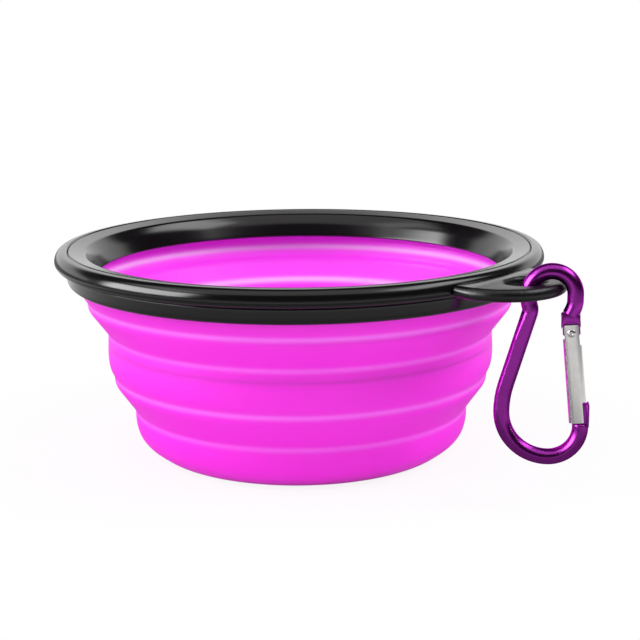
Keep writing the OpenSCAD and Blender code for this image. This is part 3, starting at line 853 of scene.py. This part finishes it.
@dataclass
class Rim(Seat):
    """The outer ring with its tab, and the inner ring."""

    rim_r: float = 65.25
    rim_z: float = 55.3
    roll_z: float = 52.5
    roll_up: Point2 = (2.15, 2.8)
    roll_down: Point2 = (3.35, 2.2)
    roll_start: float = 4.0
    roll_fall: float = 0.08
    skirt_r: float = 62.0
    skirt_edge: float = 0.8
    flare_w: float = 0.5
    flare_round: float = 0.12
    groove_in: float = 0.7
    parting_h: float = 3.85
    seat_h: float = 1.65
    seam_r: float = 61.9
    seam_drop: float = 0.1
    seam_bevel: float = 0.35
    seam_round: float = 0.15
    seam_gap: float = 0.2
    mouth_r: float = 57.2
    mouth_drop: float = 0.9
    mouth_round: float = 0.6
    throat_r: float = 53.7
    throat_h: float = 7.0
    tip_rounds: Point2 = (0.25, 0.35)
    tip_share: float = 0.8
    shoulder: Point2 = (1.6, 2.0)
    shoulder_round: float = 1.2
    ring_t: float = 1.5
    gap: float = 0.05
    tab_r: float = 15.65
    tab_x: float = 66.4
    tab_z: float = 52.45
    tab_t: float = 3.1
    tab_edge: float = 1.47
    hole_x: float = 73.2
    hole_w: float = 8.6
    hole_l: float = 11.6
    hole_edge: float = 1.0
    hole_over: float = 2.0
    segments: int = 288
    line_step: float = 0.8
    round_steps: int = 10
    finish: RimFinish = RimFinish()

    def outer_outline(self) -> list[Vector]:
        """Outline of the outer ring, from the skirt's inner edge round by the roll and the seam."""
        neck, bead, seat_z = self.neck_r + self.gap, self.bead_r + self.gap, self.rim_z - self.seat_h
        out, edge = self.skirt_r + self.flare_w, self.skirt_edge
        inner, low, side, high, groove, groove_top = (Vector(p) for p in (
            (neck, self.skirt_z), (self.skirt_r - edge, self.skirt_z), (self.skirt_r, self.skirt_z + edge),
            (out, self.skirt_z + self.parting_h), (out - self.groove_in, self.skirt_z + self.parting_h),
            (out - self.groove_in, self.roll_z - self.roll_down[1] - SLACK)))
        line = [inner, *bend(inner, low, side, edge / 2, 4), *bend(low, side, high, edge / 2, 6)]
        line += [*bend(side, high, groove, self.flare_round, 4), groove, groove_top]
        line += oval((self.rim_r - self.roll_down[0], self.roll_z), self.roll_down, -90, 0)
        line += oval((self.rim_r - self.roll_up[0], self.roll_z),
                     (self.roll_up[0], self.roll_up[1] - self.roll_fall), self.roll_start, 90)
        rise = Vector((self.seam_r + self.seam_bevel, self.rim_z))
        fall = Vector((self.seam_r, self.rim_z - self.seam_bevel))
        line += [*bend(line[-1], rise, fall, self.seam_round, 4), fall]
        line += [Vector(p) for p in (
            (self.seam_r, seat_z), (bead, seat_z), (bead, self.bead_z), (neck, self.bead_z))]
        return line

    def inner_outline(self) -> list[Vector]:
        """Outline of the inner ring, from the seam inwards over the mouth and the throat."""
        top_r, neck, low = self.seam_r - self.seam_gap, self.bead_r - self.gap, self.rim_z - self.throat_h
        mouth_z, seat_z = self.rim_z - self.mouth_drop, self.rim_z - self.seat_h
        tip = Vector((self.throat_r, low))
        shoulder = Vector((self.mouth_r - self.shoulder[0], mouth_z - self.shoulder[1]))
        slant = unit(shoulder - tip)
        step = Vector((slant.y, -slant.x)) * self.ring_t
        rise = (self.bead_top - low - step.y) / slant.y
        top, bevel = self.rim_z - self.seam_drop, self.seam_bevel
        path = [(top_r, top - bevel, 0.0), (top_r - bevel, top, self.seam_round),
                (self.mouth_r, mouth_z, self.mouth_round), (*shoulder, self.shoulder_round),
                (*tip, self.tip_rounds[0]), (*(tip + step * self.tip_share), self.tip_rounds[1]),
                (tip.x + step.x + slant.x * rise, self.bead_top, 0.0), (neck, self.bead_top, 0.0),
                (neck, seat_z, 0.0), (top_r, seat_z, 0.0)]
        return rounded(path, self.round_steps)

    def tab(self) -> Mesh:
        """The tab with its rounded edge, in metres."""
        half, edge = self.tab_t / 2, self.tab_edge
        profile = oval((self.tab_r - edge, 0.0), (edge, half), -90, 90, 18)
        root = self.seam_r - self.tab_x + self.tab_r / 8
        work = bmesh.new()
        rings = []
        for back, angle in ((root, -90), *((0.0, a) for a in range(-90, 91, 3)), (root, 90)):
            c, s, x = math.cos(math.radians(angle)), math.sin(math.radians(angle)), self.tab_x + back
            rings.append([work.verts.new(((x + p.x * c) * MM, p.x * s * MM, (self.tab_z + p.y) * MM))
                          for p in profile])
        for a, b in zip(rings, rings[1:]):
            for k in range(len(profile) - 1):
                work.faces.new((a[k], b[k], b[k + 1], a[k + 1]))
        for face in ([r[0] for r in rings][::-1], [r[-1] for r in rings], rings[0][::-1] + rings[-1]):
            work.faces.new(face)
        return Workshop.kept(work)

    def hole(self) -> Mesh:
        """The tool that cuts the tab's hole, with rounded rims, in metres."""
        half, edge, shift = self.tab_t / 2, self.hole_edge, (self.hole_l - self.hole_w) / 2
        wide, bow, end = self.hole_w / 2 + edge, (-edge, edge), half + self.hole_over
        profile = [(wide, -end), *oval((wide, edge - half), bow, -90, 0, 6),
                   *oval((wide, half - edge), bow, 0, 90, 6), (wide, end)]
        around = [(math.radians(a), side) for start, side in ((0, shift), (180, -shift))
                  for a in range(start, start + 181, 5)]
        return Workshop.loft([[
            ((self.hole_x + r * math.cos(a)) * MM, (r * math.sin(a) + side) * MM, (self.tab_z + z) * MM)
            for a, side in around] for r, z in profile])

    def ring(self, shop: Workshop, outline: list[Vector], material: Material) -> Mesh:
        """A closed outline with extra points, turned about Z."""
        return shop.turn(resampled([*outline, outline[0]], self.line_step)[:-1], self.segments, material)

    def build(self, shop: Workshop) -> list[Object]:
        """Makes both rings."""
        material = self.finish.material()
        outer = self.ring(shop, self.outer_outline(), material)
        outer = shop.cut(outer, Cut.ADD, shop.cut(self.tab(), Cut.TAKE, self.hole()))
        inner = self.ring(shop, self.inner_outline(), material)
        return [shop.hung("rim_outer_ring", outer, 32.0, material, Slot.RIM, "outer_rim_ring", Body.RIM),
                shop.hung("rim_inner_ring", inner, 40.0, material, Slot.RIM, "inner_rim_ring", Body.RIM)]


# Clip


@dataclass
class Clip:
    """The hanging clip: bent rod, gate, rivet, plunger and spring, drawn in its own plane."""

    origin: Triple = (79.2832, 2.1509, 51.4)
    turn: float = 32.7
    rod_r: float = 1.925
    arch_r: float = 5.4
    arch_side: float = 1.35
    tuck_gate: float = 24.0
    tuck_leg: float = 18.0
    neck_len: float = 1.25
    pinch_r: float = 3.05
    leg_lean: float = 16.5
    nose_rise: float = 0.95
    bend_r: float = 24.0
    loop_leg_r: float = 10.9
    loop_gate_r: float = 7.8
    press_t: float = 3.1
    gate_w: float = 4.3
    gate_t: float = 3.5
    sheet_t: float = 0.4
    gate_len: float = 21.95
    gate_top_r: float = 2.4
    gate_top_h: float = 1.95
    gate_round: float = 1.4
    hinge_slot: float = 3.1
    hinge_back: float = 0.75
    latch_slot: float = 5.0
    slot_in: float = 0.45
    latch_in: float = 0.8
    over: float = 1.0
    rivet_d: float = 1.4
    rivet_head_d: float = 1.9
    rivet_head_h: float = 0.3
    rivet_recess: tuple[Point2, ...] = ((0.26, 0.86), (0.16, 0.62), (0.0, 0.55))
    tongue_w: float = 4.5
    block_t: float = 3.1
    block_h: float = 2.0
    block_cut: float = 0.5
    block_bevel: float = 0.18
    tongue_t: float = 2.3
    tongue_len: float = 1.9
    tongue_bevel: float = 0.12
    cam_gap: float = 0.27
    nose_t: float = 2.0
    nose_bevel: float = 0.2
    nose_cut: float = 0.4
    nose_crest: tuple[Point2, ...] = ((0.9, 0.0), (0.3, 0.25), (0.0, 0.9))
    nose_bar_t: float = 3.1
    nose_bar_w: float = 0.65
    nose_bar_bevel: float = 0.15
    nose_bar_crest: tuple[Point2, ...] = ((0.9, 0.0), (0.25, 0.15), (0.0, 0.35))
    nose_out: float = 0.1
    gate_gap: float = 0.2
    collar_h: float = 1.0
    end_rings: Triple = (0.45, 0.2, 0.0)
    end_tight: Point2 = (0.86, 0.97)
    press_fade: Point2 = (1.5, 7.0)
    loop_fade: Point2 = (4.0, 8.0)
    leg_side: float = 0.5
    coil_d: float = 2.2
    wire_d: float = 0.36
    spring_len: float = 8.0
    spring_turns: float = 8.0
    plunger_head: float = 0.9
    plunger_stem: float = 2.2
    fit_gap: float = 0.05
    sides: int = 40
    rivet_sides: int = 48
    purple: MetalFinish = MetalFinish(
        "purple_anodised", rgb(168, 54, 174), 0.26, 400.0, 0.06, rgb(225, 150, 230))
    steel: MetalFinish = MetalFinish("bright_sheet", rgb(244, 242, 240), 0.24)
    wire: MetalFinish = MetalFinish("spring_wire", rgb(168, 168, 170), 0.3)

    def __post_init__(self) -> None:
        """Works out the places that the rod and the gate share."""
        tuck = Vector((0.0, -self.arch_side))
        self.pinch_c = tuck - toward(self.tuck_leg, self.arch_r + self.pinch_r)
        self.leg_top = self.pinch_c + toward(-self.leg_lean, self.pinch_r)
        gate_tuck = tuck + toward(-self.tuck_gate, self.arch_r)
        self.neck_end = gate_tuck - toward(90.0 - self.tuck_gate, self.neck_len)
        self.block_top = self.neck_end.y + self.rod_r / 6
        below = self.block_h + self.gate_top_r + self.gate_gap
        self.rivet = Vector((self.neck_end.x + self.rod_r / 6, self.block_top - below))
        nose_z = self.rivet.y - self.gate_len - self.gate_gap
        loop_drop = self.loop_leg_r - self.loop_gate_r
        loop_z = nose_z - self.nose_rise + loop_drop
        up, round_step = toward(90.0 - self.leg_lean, 1.0), toward(-self.leg_lean, self.bend_r)
        self.leg_end = self.leg_top - up * ((self.leg_top.y - loop_z + round_step.y) / up.y)
        self.bend_c = self.leg_end + round_step
        self.loop_leg_c = Vector((self.bend_c.x - self.bend_r + self.loop_leg_r, self.bend_c.y))
        self.loop_gate_c = Vector((self.loop_leg_c.x, self.loop_leg_c.y - loop_drop))
        self.nose_root = Vector((self.loop_gate_c.x + self.loop_gate_r, nose_z))
        slant = self.nose_root.x - self.gate_w / 8 - self.rivet.x
        self.lean = math.degrees(math.atan(slant / self.gate_len))
        self.spring_top = self.tongue_len + self.cam_gap + self.plunger_head

    def hang(self, mesh: Mesh) -> Mesh:
        """Moves a mesh in mm from the clip's plane to its place in metres."""
        mesh.transform(Matrix.Scale(MM, 4) @ Matrix.Translation(Vector(self.origin))
                       @ Matrix.Rotation(math.radians(self.turn), 4, "Z"))
        return mesh

    def at_gate(self, mesh: Mesh) -> Mesh:
        """Moves a mesh in mm from the gate's upright frame into the clip's plane."""
        mesh.transform(Matrix.Translation((self.rivet.x, 0, self.rivet.y))
                       @ Matrix.Rotation(math.radians(-self.lean), 4, "Y"))
        return mesh

    def gate_point(self, x: float, z: float) -> Point2:
        """A point of the gate's frame, in the clip's plane."""
        c, s = math.cos(math.radians(self.lean)), math.sin(math.radians(self.lean))
        return self.rivet.x + x * c - z * s, self.rivet.y + x * s + z * c

    def centre_line(self) -> list[Vector]:
        """The rod's middle line, from the block above the gate to the nose."""
        line: list[Vector] = [self.neck_end.copy()]
        middle, tuck, r, leg_steps = (0.0, 0.0), (0.0, -self.arch_side), self.arch_r, 24
        line += arc(tuck, r, -self.tuck_gate, 0, 10)
        line += arc(middle, r, 0, 180, 60)
        line += arc(tuck, r, 180, 180 + self.tuck_leg, 10)
        line += arc(self.pinch_c, self.pinch_r, self.tuck_leg, -self.leg_lean, 12)
        line += [self.leg_top.lerp(self.leg_end, k / leg_steps) for k in range(1, leg_steps + 1)]
        line += arc(self.bend_c, self.bend_r, 180 - self.leg_lean, 180, 16)
        line += arc(self.loop_leg_c, self.loop_leg_r, 180, 270, 40)
        line += arc(self.loop_gate_c, self.loop_gate_r, 270, 360, 32)
        line += [self.nose_root]
        clean = [line[0]]
        for point in line[1:]:
            if (point - clean[-1]).length > TINY:
                clean.append(point)
        return clean

    def rod(self, shop: Workshop, material: Material) -> Mesh:
        """The bent rod, drawn in at its end and pressed flat along its leg."""
        places = [Vector((p.x, 0.0, p.y)) for p in self.centre_line()]
        places[-1:] = [Vector((places[-1].x, 0.0, places[-1].z - drop)) for drop in self.end_rings]
        line = shop.points(places, True)
        mesh = shop.rod.run(line, Radius=self.rod_r, Sides=self.sides, Material=material)
        end, last = self.nose_root.y, self.end_rings[1]
        fade_from, fade_to = self.leg_top.y + self.press_fade[0], self.leg_top.y - self.press_fade[1]

        def held(value: float) -> float:
            """The value held between 0 and 1."""
            return min(max(value, 0.0), 1.0)
        for vertex in mesh.vertices:
            co = vertex.co
            if co.x > 0 and end - last - SLACK < co.z < end + SLACK:
                tight = self.end_tight[0] if co.z > end - last / 2 else self.end_tight[1]
                co.x = self.nose_root.x + (co.x - self.nose_root.x) * tight
                co.y *= tight
            share = held((fade_from - co.z) / (fade_from - fade_to))
            share = share * share * (3 - 2 * share)
            below = held((co.z - self.loop_leg_c.y + self.loop_fade[0]) / self.loop_fade[1])
            if co.x < self.leg_side and share > 0:
                limit = self.rod_r + (self.press_t / 2 - self.rod_r) * share * below
                co.y = min(max(co.y, -limit), limit)
        return shop.outwards(mesh)

    def block(self) -> list[Point2]:
        """Outline of the flattened block, hollowed over the gate's round top."""
        left, right = (self.neck_end.x + side * self.tongue_w / 2 for side in (-1, 1))
        top, cut, gap_r = self.block_top, self.block_cut, self.gate_top_r + self.gate_gap
        floor = arc(self.rivet, gap_r, 32, 160, 16)
        return [(left, top - cut), (left + cut, top), (right - cut, top), (right, top - cut),
                *((max(min(p.x, right), left), p.y) for p in floor)]

    def tongue(self) -> list[Point2]:
        """Outline of the tongue that reaches into the gate and holds the rivet."""
        side, t = self.tongue_w / 2 - self.gate_gap, self.tongue_len
        top = self.gate_top_r + self.gate_gap + self.block_h / 2
        outline = [(-side, top), (-side, -t / 4), *arc((0.0, 0.0), t, 194, 234, 5), (-t / 2, -t),
                   (t / 2, -t), *arc((0.0, 0.0), t, 306, 346, 5), (side, -t / 4), (side, top)]
        return [self.gate_point(*p) for p in outline]

    def nose(self) -> tuple[list[Point2], list[Point2]]:
        """Outlines of the nose's blade and of the bar along its outer edge."""
        inner_r = self.gate_round - self.sheet_t
        off_middle = self.nose_t / 2 - (self.gate_t / 2 - self.sheet_t - inner_r)
        depth = math.sqrt(inner_r ** 2 - off_middle ** 2)
        inner = self.gate_gap - (self.gate_w / 2 - self.gate_round) - depth
        high = -self.gate_len + self.latch_slot - self.gate_gap - self.sheet_t
        low = -self.gate_len - self.gate_gap - self.collar_h
        edge = self.nose_root.x + self.rod_r + self.nose_out

        def at_edge(z: float, back: float = 0.0) -> Point2:
            """Where a line across the gate meets the rod's outer side."""
            a, b = self.gate_point(inner, z), self.gate_point(inner + 1.0, z)
            k = (edge - back - a[0]) / (b[0] - a[0])
            return a[0] + (b[0] - a[0]) * k, a[1] + (b[1] - a[1]) * k

        def crest(drops: Sequence[Point2]) -> list[Point2]:
            """Triples at given drops from the top and ways back from the outer side."""
            return [at_edge(high - drop, back) for drop, back in drops]
        blade = [self.gate_point(inner, low), at_edge(low), *crest(self.nose_crest),
                 self.gate_point(inner + self.nose_cut, high), self.gate_point(inner, high - self.nose_cut)]
        bar_w = self.nose_bar_w
        return blade, [at_edge(low, bar_w), at_edge(low), *crest(self.nose_bar_crest), at_edge(high, bar_w)]

    def body_mesh(self, shop: Workshop, material: Material) -> Mesh:
        """Rod, block, tongue and nose as one solid."""
        mesh = self.rod(shop, material)
        blade, bar = self.nose()
        for plate in (shop.prism(self.block(), self.block_t, self.block_bevel),
                      shop.prism(self.tongue(), self.tongue_t, self.tongue_bevel, 2),
                      shop.prism(blade, self.nose_t, self.nose_bevel),
                      shop.prism(bar, self.nose_bar_t, self.nose_bar_bevel)):
            mesh = shop.cut(mesh, Cut.ADD, plate)
        return shop.cut(mesh, Cut.TAKE, self.at_gate(shop.pin(self.rivet_d / 2)))

    def section(self, inset: float) -> list[Point2]:
        """Outline of the gate's tube across its length."""
        w, t, r = self.gate_w / 2 - inset, self.gate_t / 2 - inset, self.gate_round - inset
        out: list[Point2] = []
        for sx, sy, start in ((1, 1, 0), (-1, 1, 90), (-1, -1, 180), (1, -1, 270)):
            out += [tuple(p) for p in arc((sx * (w - r), sy * (t - r)), r, start, start + 90, 8)]
        return out

    def gate_mesh(self, shop: Workshop) -> Mesh:
        """The rolled sheet gate with its slots.

        Each slot opens one edge of the tube between its cheeks, and cuts back the cheeks.
        """
        w, r, half = self.gate_w, self.gate_top_r, self.gate_t / 2 - self.sheet_t
        low, top = -self.gate_len - self.over, self.gate_top_h + self.over
        mesh = shop.column(self.section(0.0), -self.gate_len, self.gate_top_h)
        outline = [(-w, low), (-w, 0.0), *arc((0.0, 0.0), r, 180, 0, 30), (w, 0.0), (w, low)]
        mesh = shop.cut(mesh, Cut.KEEP_COMMON, shop.prism(outline, 2 * self.gate_t, 0.0))
        mesh = shop.cut(mesh, Cut.TAKE, shop.column(self.section(self.sheet_t), low, top))
        for sign, cut_back, z0, z1 in (
                (1, self.slot_in, -self.hinge_slot, top),
                (-1, self.slot_in, -self.hinge_back * self.tongue_len, top),
                (1, self.latch_in, low, -self.gate_len + self.latch_slot)):
            for near, deep in ((0.0, half), (w / 2 - cut_back, self.gate_t)):
                x0, x1 = sorted((sign * near, sign * w))
                box = shop.column([(x0, -deep), (x1, -deep), (x1, deep), (x0, deep)], z0, z1)
                mesh = shop.cut(mesh, Cut.TAKE, box)
        return shop.cut(mesh, Cut.TAKE, shop.pin(self.rivet_d / 2 + self.fit_gap))

    @staticmethod
    def in_mm(mesh: Mesh) -> Mesh:
        """A mesh in metres, turned to mm."""
        mesh.transform(Matrix.Scale(1 / MM, 4))
        return mesh

    def rivet_mesh(self, shop: Workshop, material: Material) -> Mesh:
        """The rivet with its two peened heads."""
        base, head, h = self.gate_t / 2 + self.fit_gap, self.rivet_head_d / 2, self.rivet_head_h
        upper = [Vector((self.rivet_d / 2, base)), *oval((0.0, base), (head, h), 0, 70, 7)]
        upper += [Vector((head * x, base + h * z)) for x, z in self.rivet_recess]
        lower = [Vector((p.x, -p.y)) for p in reversed(upper)]
        mesh = self.in_mm(shop.turn(lower + upper, self.rivet_sides, material))
        mesh.transform(Matrix.Rotation(math.pi / 2, 4, "X"))
        return mesh

    def plunger_mesh(self, shop: Workshop, material: Material) -> Mesh:
        """The plunger's cap and its stem inside the spring."""
        r, z = self.coil_d / 2, -self.spring_top
        stem, foot, top = r - self.wire_d - self.fit_gap, z - self.plunger_stem, z + self.plunger_head
        cap = [(0.0, foot), (stem, foot), (stem, z), (r, z), (r, top), (0.0, top)]
        return self.in_mm(shop.turn([Vector(p) for p in cap], self.sides, material))

    def coil_mesh(self, shop: Workshop, material: Material) -> Mesh:
        """The spring below the plunger's cap."""
        rise = self.spring_len - self.wire_d
        coil = shop.coil.run(shop.points([Vector((0, 0, 0))], False), **{
            "Turns": self.spring_turns, "Coil Radius": (self.coil_d - self.wire_d) / 2, "Height": rise,
            "Wire Radius": self.wire_d / 2, "Material": material})
        coil.transform(Matrix.Translation((0, 0, -self.spring_top - self.wire_d / 2 - rise)))
        return shop.outwards(coil)

    def build(self, shop: Workshop) -> list[Object]:
        """Makes every piece of the clip and hangs it on its body."""
        purple, steel, wire = self.purple.material(), self.steel.material(), self.wire.material()
        gate, rivet, plunger, coil = (self.at_gate(mesh) for mesh in (
            self.gate_mesh(shop), self.rivet_mesh(shop, steel),
            self.plunger_mesh(shop, steel), self.coil_mesh(shop, wire)))
        return [shop.hung(name, self.hang(mesh), *rest) for name, mesh, *rest in (
            ("clip_rod", self.body_mesh(shop, purple), 32.0, purple, Slot.PURPLE, "clip_body", Body.CLIP),
            ("gate_sheet", gate, 32.0, steel, Slot.STEEL, "clip_gate", Body.GATE),
            ("rivet_pin", rivet, 40.0, steel, Slot.STEEL, "gate_rivet", Body.CLIP),
            ("plunger_cap", plunger, 40.0, steel, Slot.STEEL, "spring_plunger", Body.GATE),
            ("gate_coil", coil, 60.0, wire, Slot.SPRING, "gate_spring", Body.GATE))]


# Studio


@dataclass
class Lamp:
    """A soft rectangular lamp."""

    name: str
    place: Triple
    size: Point2
    watts: float

    def build(self, target: Vector) -> Object:
        """Makes the lamp and turns it to the object."""
        data = bpy.data.lights.new(self.name, "AREA")
        data.shape, data.energy = "RECTANGLE", self.watts
        data.size, data.size_y = self.size
        obj = bpy.data.objects.new(self.name, data)
        bpy.context.scene.collection.objects.link(obj)
        obj.location = self.place
        obj.rotation_euler = (target - Vector(self.place)).to_track_quat("-Z", "Y").to_euler()
        obj.visible_glossy = False
        return obj


@dataclass(frozen=True)
class Card:
    """A pale card far away that only glossy surfaces show; its directions and half sizes are in degrees."""

    turn: float
    rise: float
    half_width: float
    half_height: float
    strength: float
    softness: float = 0.12

    def light(self, g: Graph, way: NodeSocket) -> Wire:
        """What the card adds to the mirrored surroundings.

        Args:
            g: the world's node tree.
            way: the direction looked in.

        Returns:
            The card's light in that direction.
        """
        a, e = math.radians(self.turn), math.radians(self.rise)
        facing = Vector((math.cos(a) * math.cos(e), math.sin(a) * math.cos(e), math.sin(e)))
        aside = Vector((-math.sin(a), math.cos(a), 0.0))
        ahead, x, y = (
            g.vector("DOT_PRODUCT", way, tuple(v)) for v in (facing, aside, facing.cross(aside)))
        wide, high = (math.tan(math.radians(h)) for h in (self.half_width, self.half_height))
        across = ((ahead * wide - abs(x)) / self.softness).clamped()
        upright = ((ahead * high - abs(y)) / self.softness).clamped()
        return across * upright * self.strength


@dataclass
class Studio:
    """Camera, pale floor, lamps and the white surroundings."""

    camera_place: Triple = (0.25622, -0.26977, 0.11803)
    camera_turn: Triple = (77.232, 42.7, -0.447)
    lens: float = 78.55
    sensor: float = 36.0
    clip_range: Point2 = (0.01, 20.0)
    aim: Triple = (0.01, 0.0, 0.03)
    world_light: float = 0.55
    dim: float = 0.03
    cards: tuple[Card, ...] = (
        Card(134.0, 4.0, 70.0, 28.0, 1.15), Card(-122.0, 14.0, 26.0, 20.0, 10.0),
        Card(-128.0, 44.0, 22.0, 10.0, 1.4), Card(42.0, 50.0, 24.0, 14.0, 4.0),
        Card(-46.0, 75.0, 50.0, 30.0, 0.9))
    floor_size: float = 8.0
    floor_drop: float = 0.00005
    floor_grey: float = 0.9
    glow_middle: float = 0.215
    glow_width: float = 0.1
    glow_least: float = 0.25
    shadow: float = 0.2
    shadow_reach: float = 0.12
    lamps: list[Lamp] = field(default_factory=lambda: [
        Lamp("left_lamp", (-0.37, -0.6, 0.55), (0.7, 0.5), 5.5),
        Lamp("right_lamp", (0.53, 0.4, 0.6), (0.5, 0.35), 4.5)])

    def camera(self) -> Object:
        """Sets the camera to the photograph's viewpoint."""
        data = bpy.data.cameras.new("view")
        data.lens, data.sensor_width = self.lens, self.sensor
        data.clip_start, data.clip_end = self.clip_range
        obj = bpy.data.objects.new("view", data)
        bpy.context.scene.collection.objects.link(obj)
        pitch, turn, roll = (math.radians(a) for a in self.camera_turn)
        obj.matrix_world = (Matrix.Translation(Vector(self.camera_place)) @ Matrix.Rotation(turn, 4, "Z")
                            @ Matrix.Rotation(pitch, 4, "X") @ Matrix.Rotation(roll, 4, "Z"))
        bpy.context.scene.camera = obj
        return obj

    def floor(self) -> Object:
        """A pale floor that keeps a little of the object's shadow and lights the metal from below."""
        g = Graph("pale_floor")
        seen, mirrored = g.rays("Camera", "Transmission"), g.rays("Glossy")
        distance = g.vector("LENGTH", g.place())
        pale = self.glow_least + distance.band(self.glow_middle, self.glow_width) * (1.0 - self.glow_least)
        under = (1.0 - distance / self.shadow_reach).clamped()
        paint = g.add("ShaderNodeBsdfDiffuse", {}, {"Color": (*(self.floor_grey,) * 3, 1.0)})
        glow = g.add("ShaderNodeEmission", {}, {"Color": WHITE, "Strength": seen + mirrored * pale})
        share = (seen * (1.0 - under * self.shadow) + mirrored).clamped()
        mix = g.add("ShaderNodeMixShader", {}, {0: share, 1: paint.outputs[0], 2: glow.outputs[0]})
        g.add("ShaderNodeOutputMaterial", {}, {"Surface": mix.outputs[0]})
        half = self.floor_size / 2
        mesh = bpy.data.meshes.new("floor")
        corners = [(x * half, y * half, 0) for x, y in ((-1, -1), (1, -1), (1, 1), (-1, 1))]
        mesh.from_pydata(corners, [], [(0, 1, 2, 3)])
        mesh.materials.append(g.material)
        obj = Workshop.show("floor", mesh)
        obj.location.z = -self.floor_drop
        return obj

    def surroundings(self) -> None:
        """White for the eye, soft light for dull surfaces, and dim walls with cards for glossy ones."""
        g = Graph("white_room", world=True)
        bpy.context.scene.world = g.material
        way = g.add("ShaderNodeTexCoord", {}, {}).outputs["Generated"]
        mirrored: Any = self.dim
        for card in self.cards:
            mirrored = card.light(g, way) + mirrored
        seen, glossy = g.rays("Camera", "Transmission"), g.rays("Glossy")
        level = seen + glossy * mirrored + (1.0 - (seen + glossy).clamped()) * self.world_light
        sky = g.add("ShaderNodeBackground", {}, {"Color": WHITE, "Strength": level})
        g.add("ShaderNodeOutputWorld", {}, {"Surface": sky.outputs[0]})

    def build(self) -> None:
        """Makes the whole studio."""
        self.camera()
        self.floor()
        self.surroundings()
        for lamp in self.lamps:
            lamp.build(Vector(self.aim))
        bpy.context.scene.view_settings.view_transform = "Standard"


def main() -> None:
    """Builds the bowl, its rim, the clip and the studio."""
    logging.basicConfig(level=logging.INFO, format="%(name)s %(message)s")
    shop = Workshop()
    for maker in (SiliconeBowl(), Rim(), Clip()):
        pieces = maker.build(shop)
        LOG.info("%s: %s", type(maker).__name__, ", ".join(p.name for p in pieces))
    Studio().build()
    bpy.context.view_layer.update()


if __name__ == "__main__":
    main()
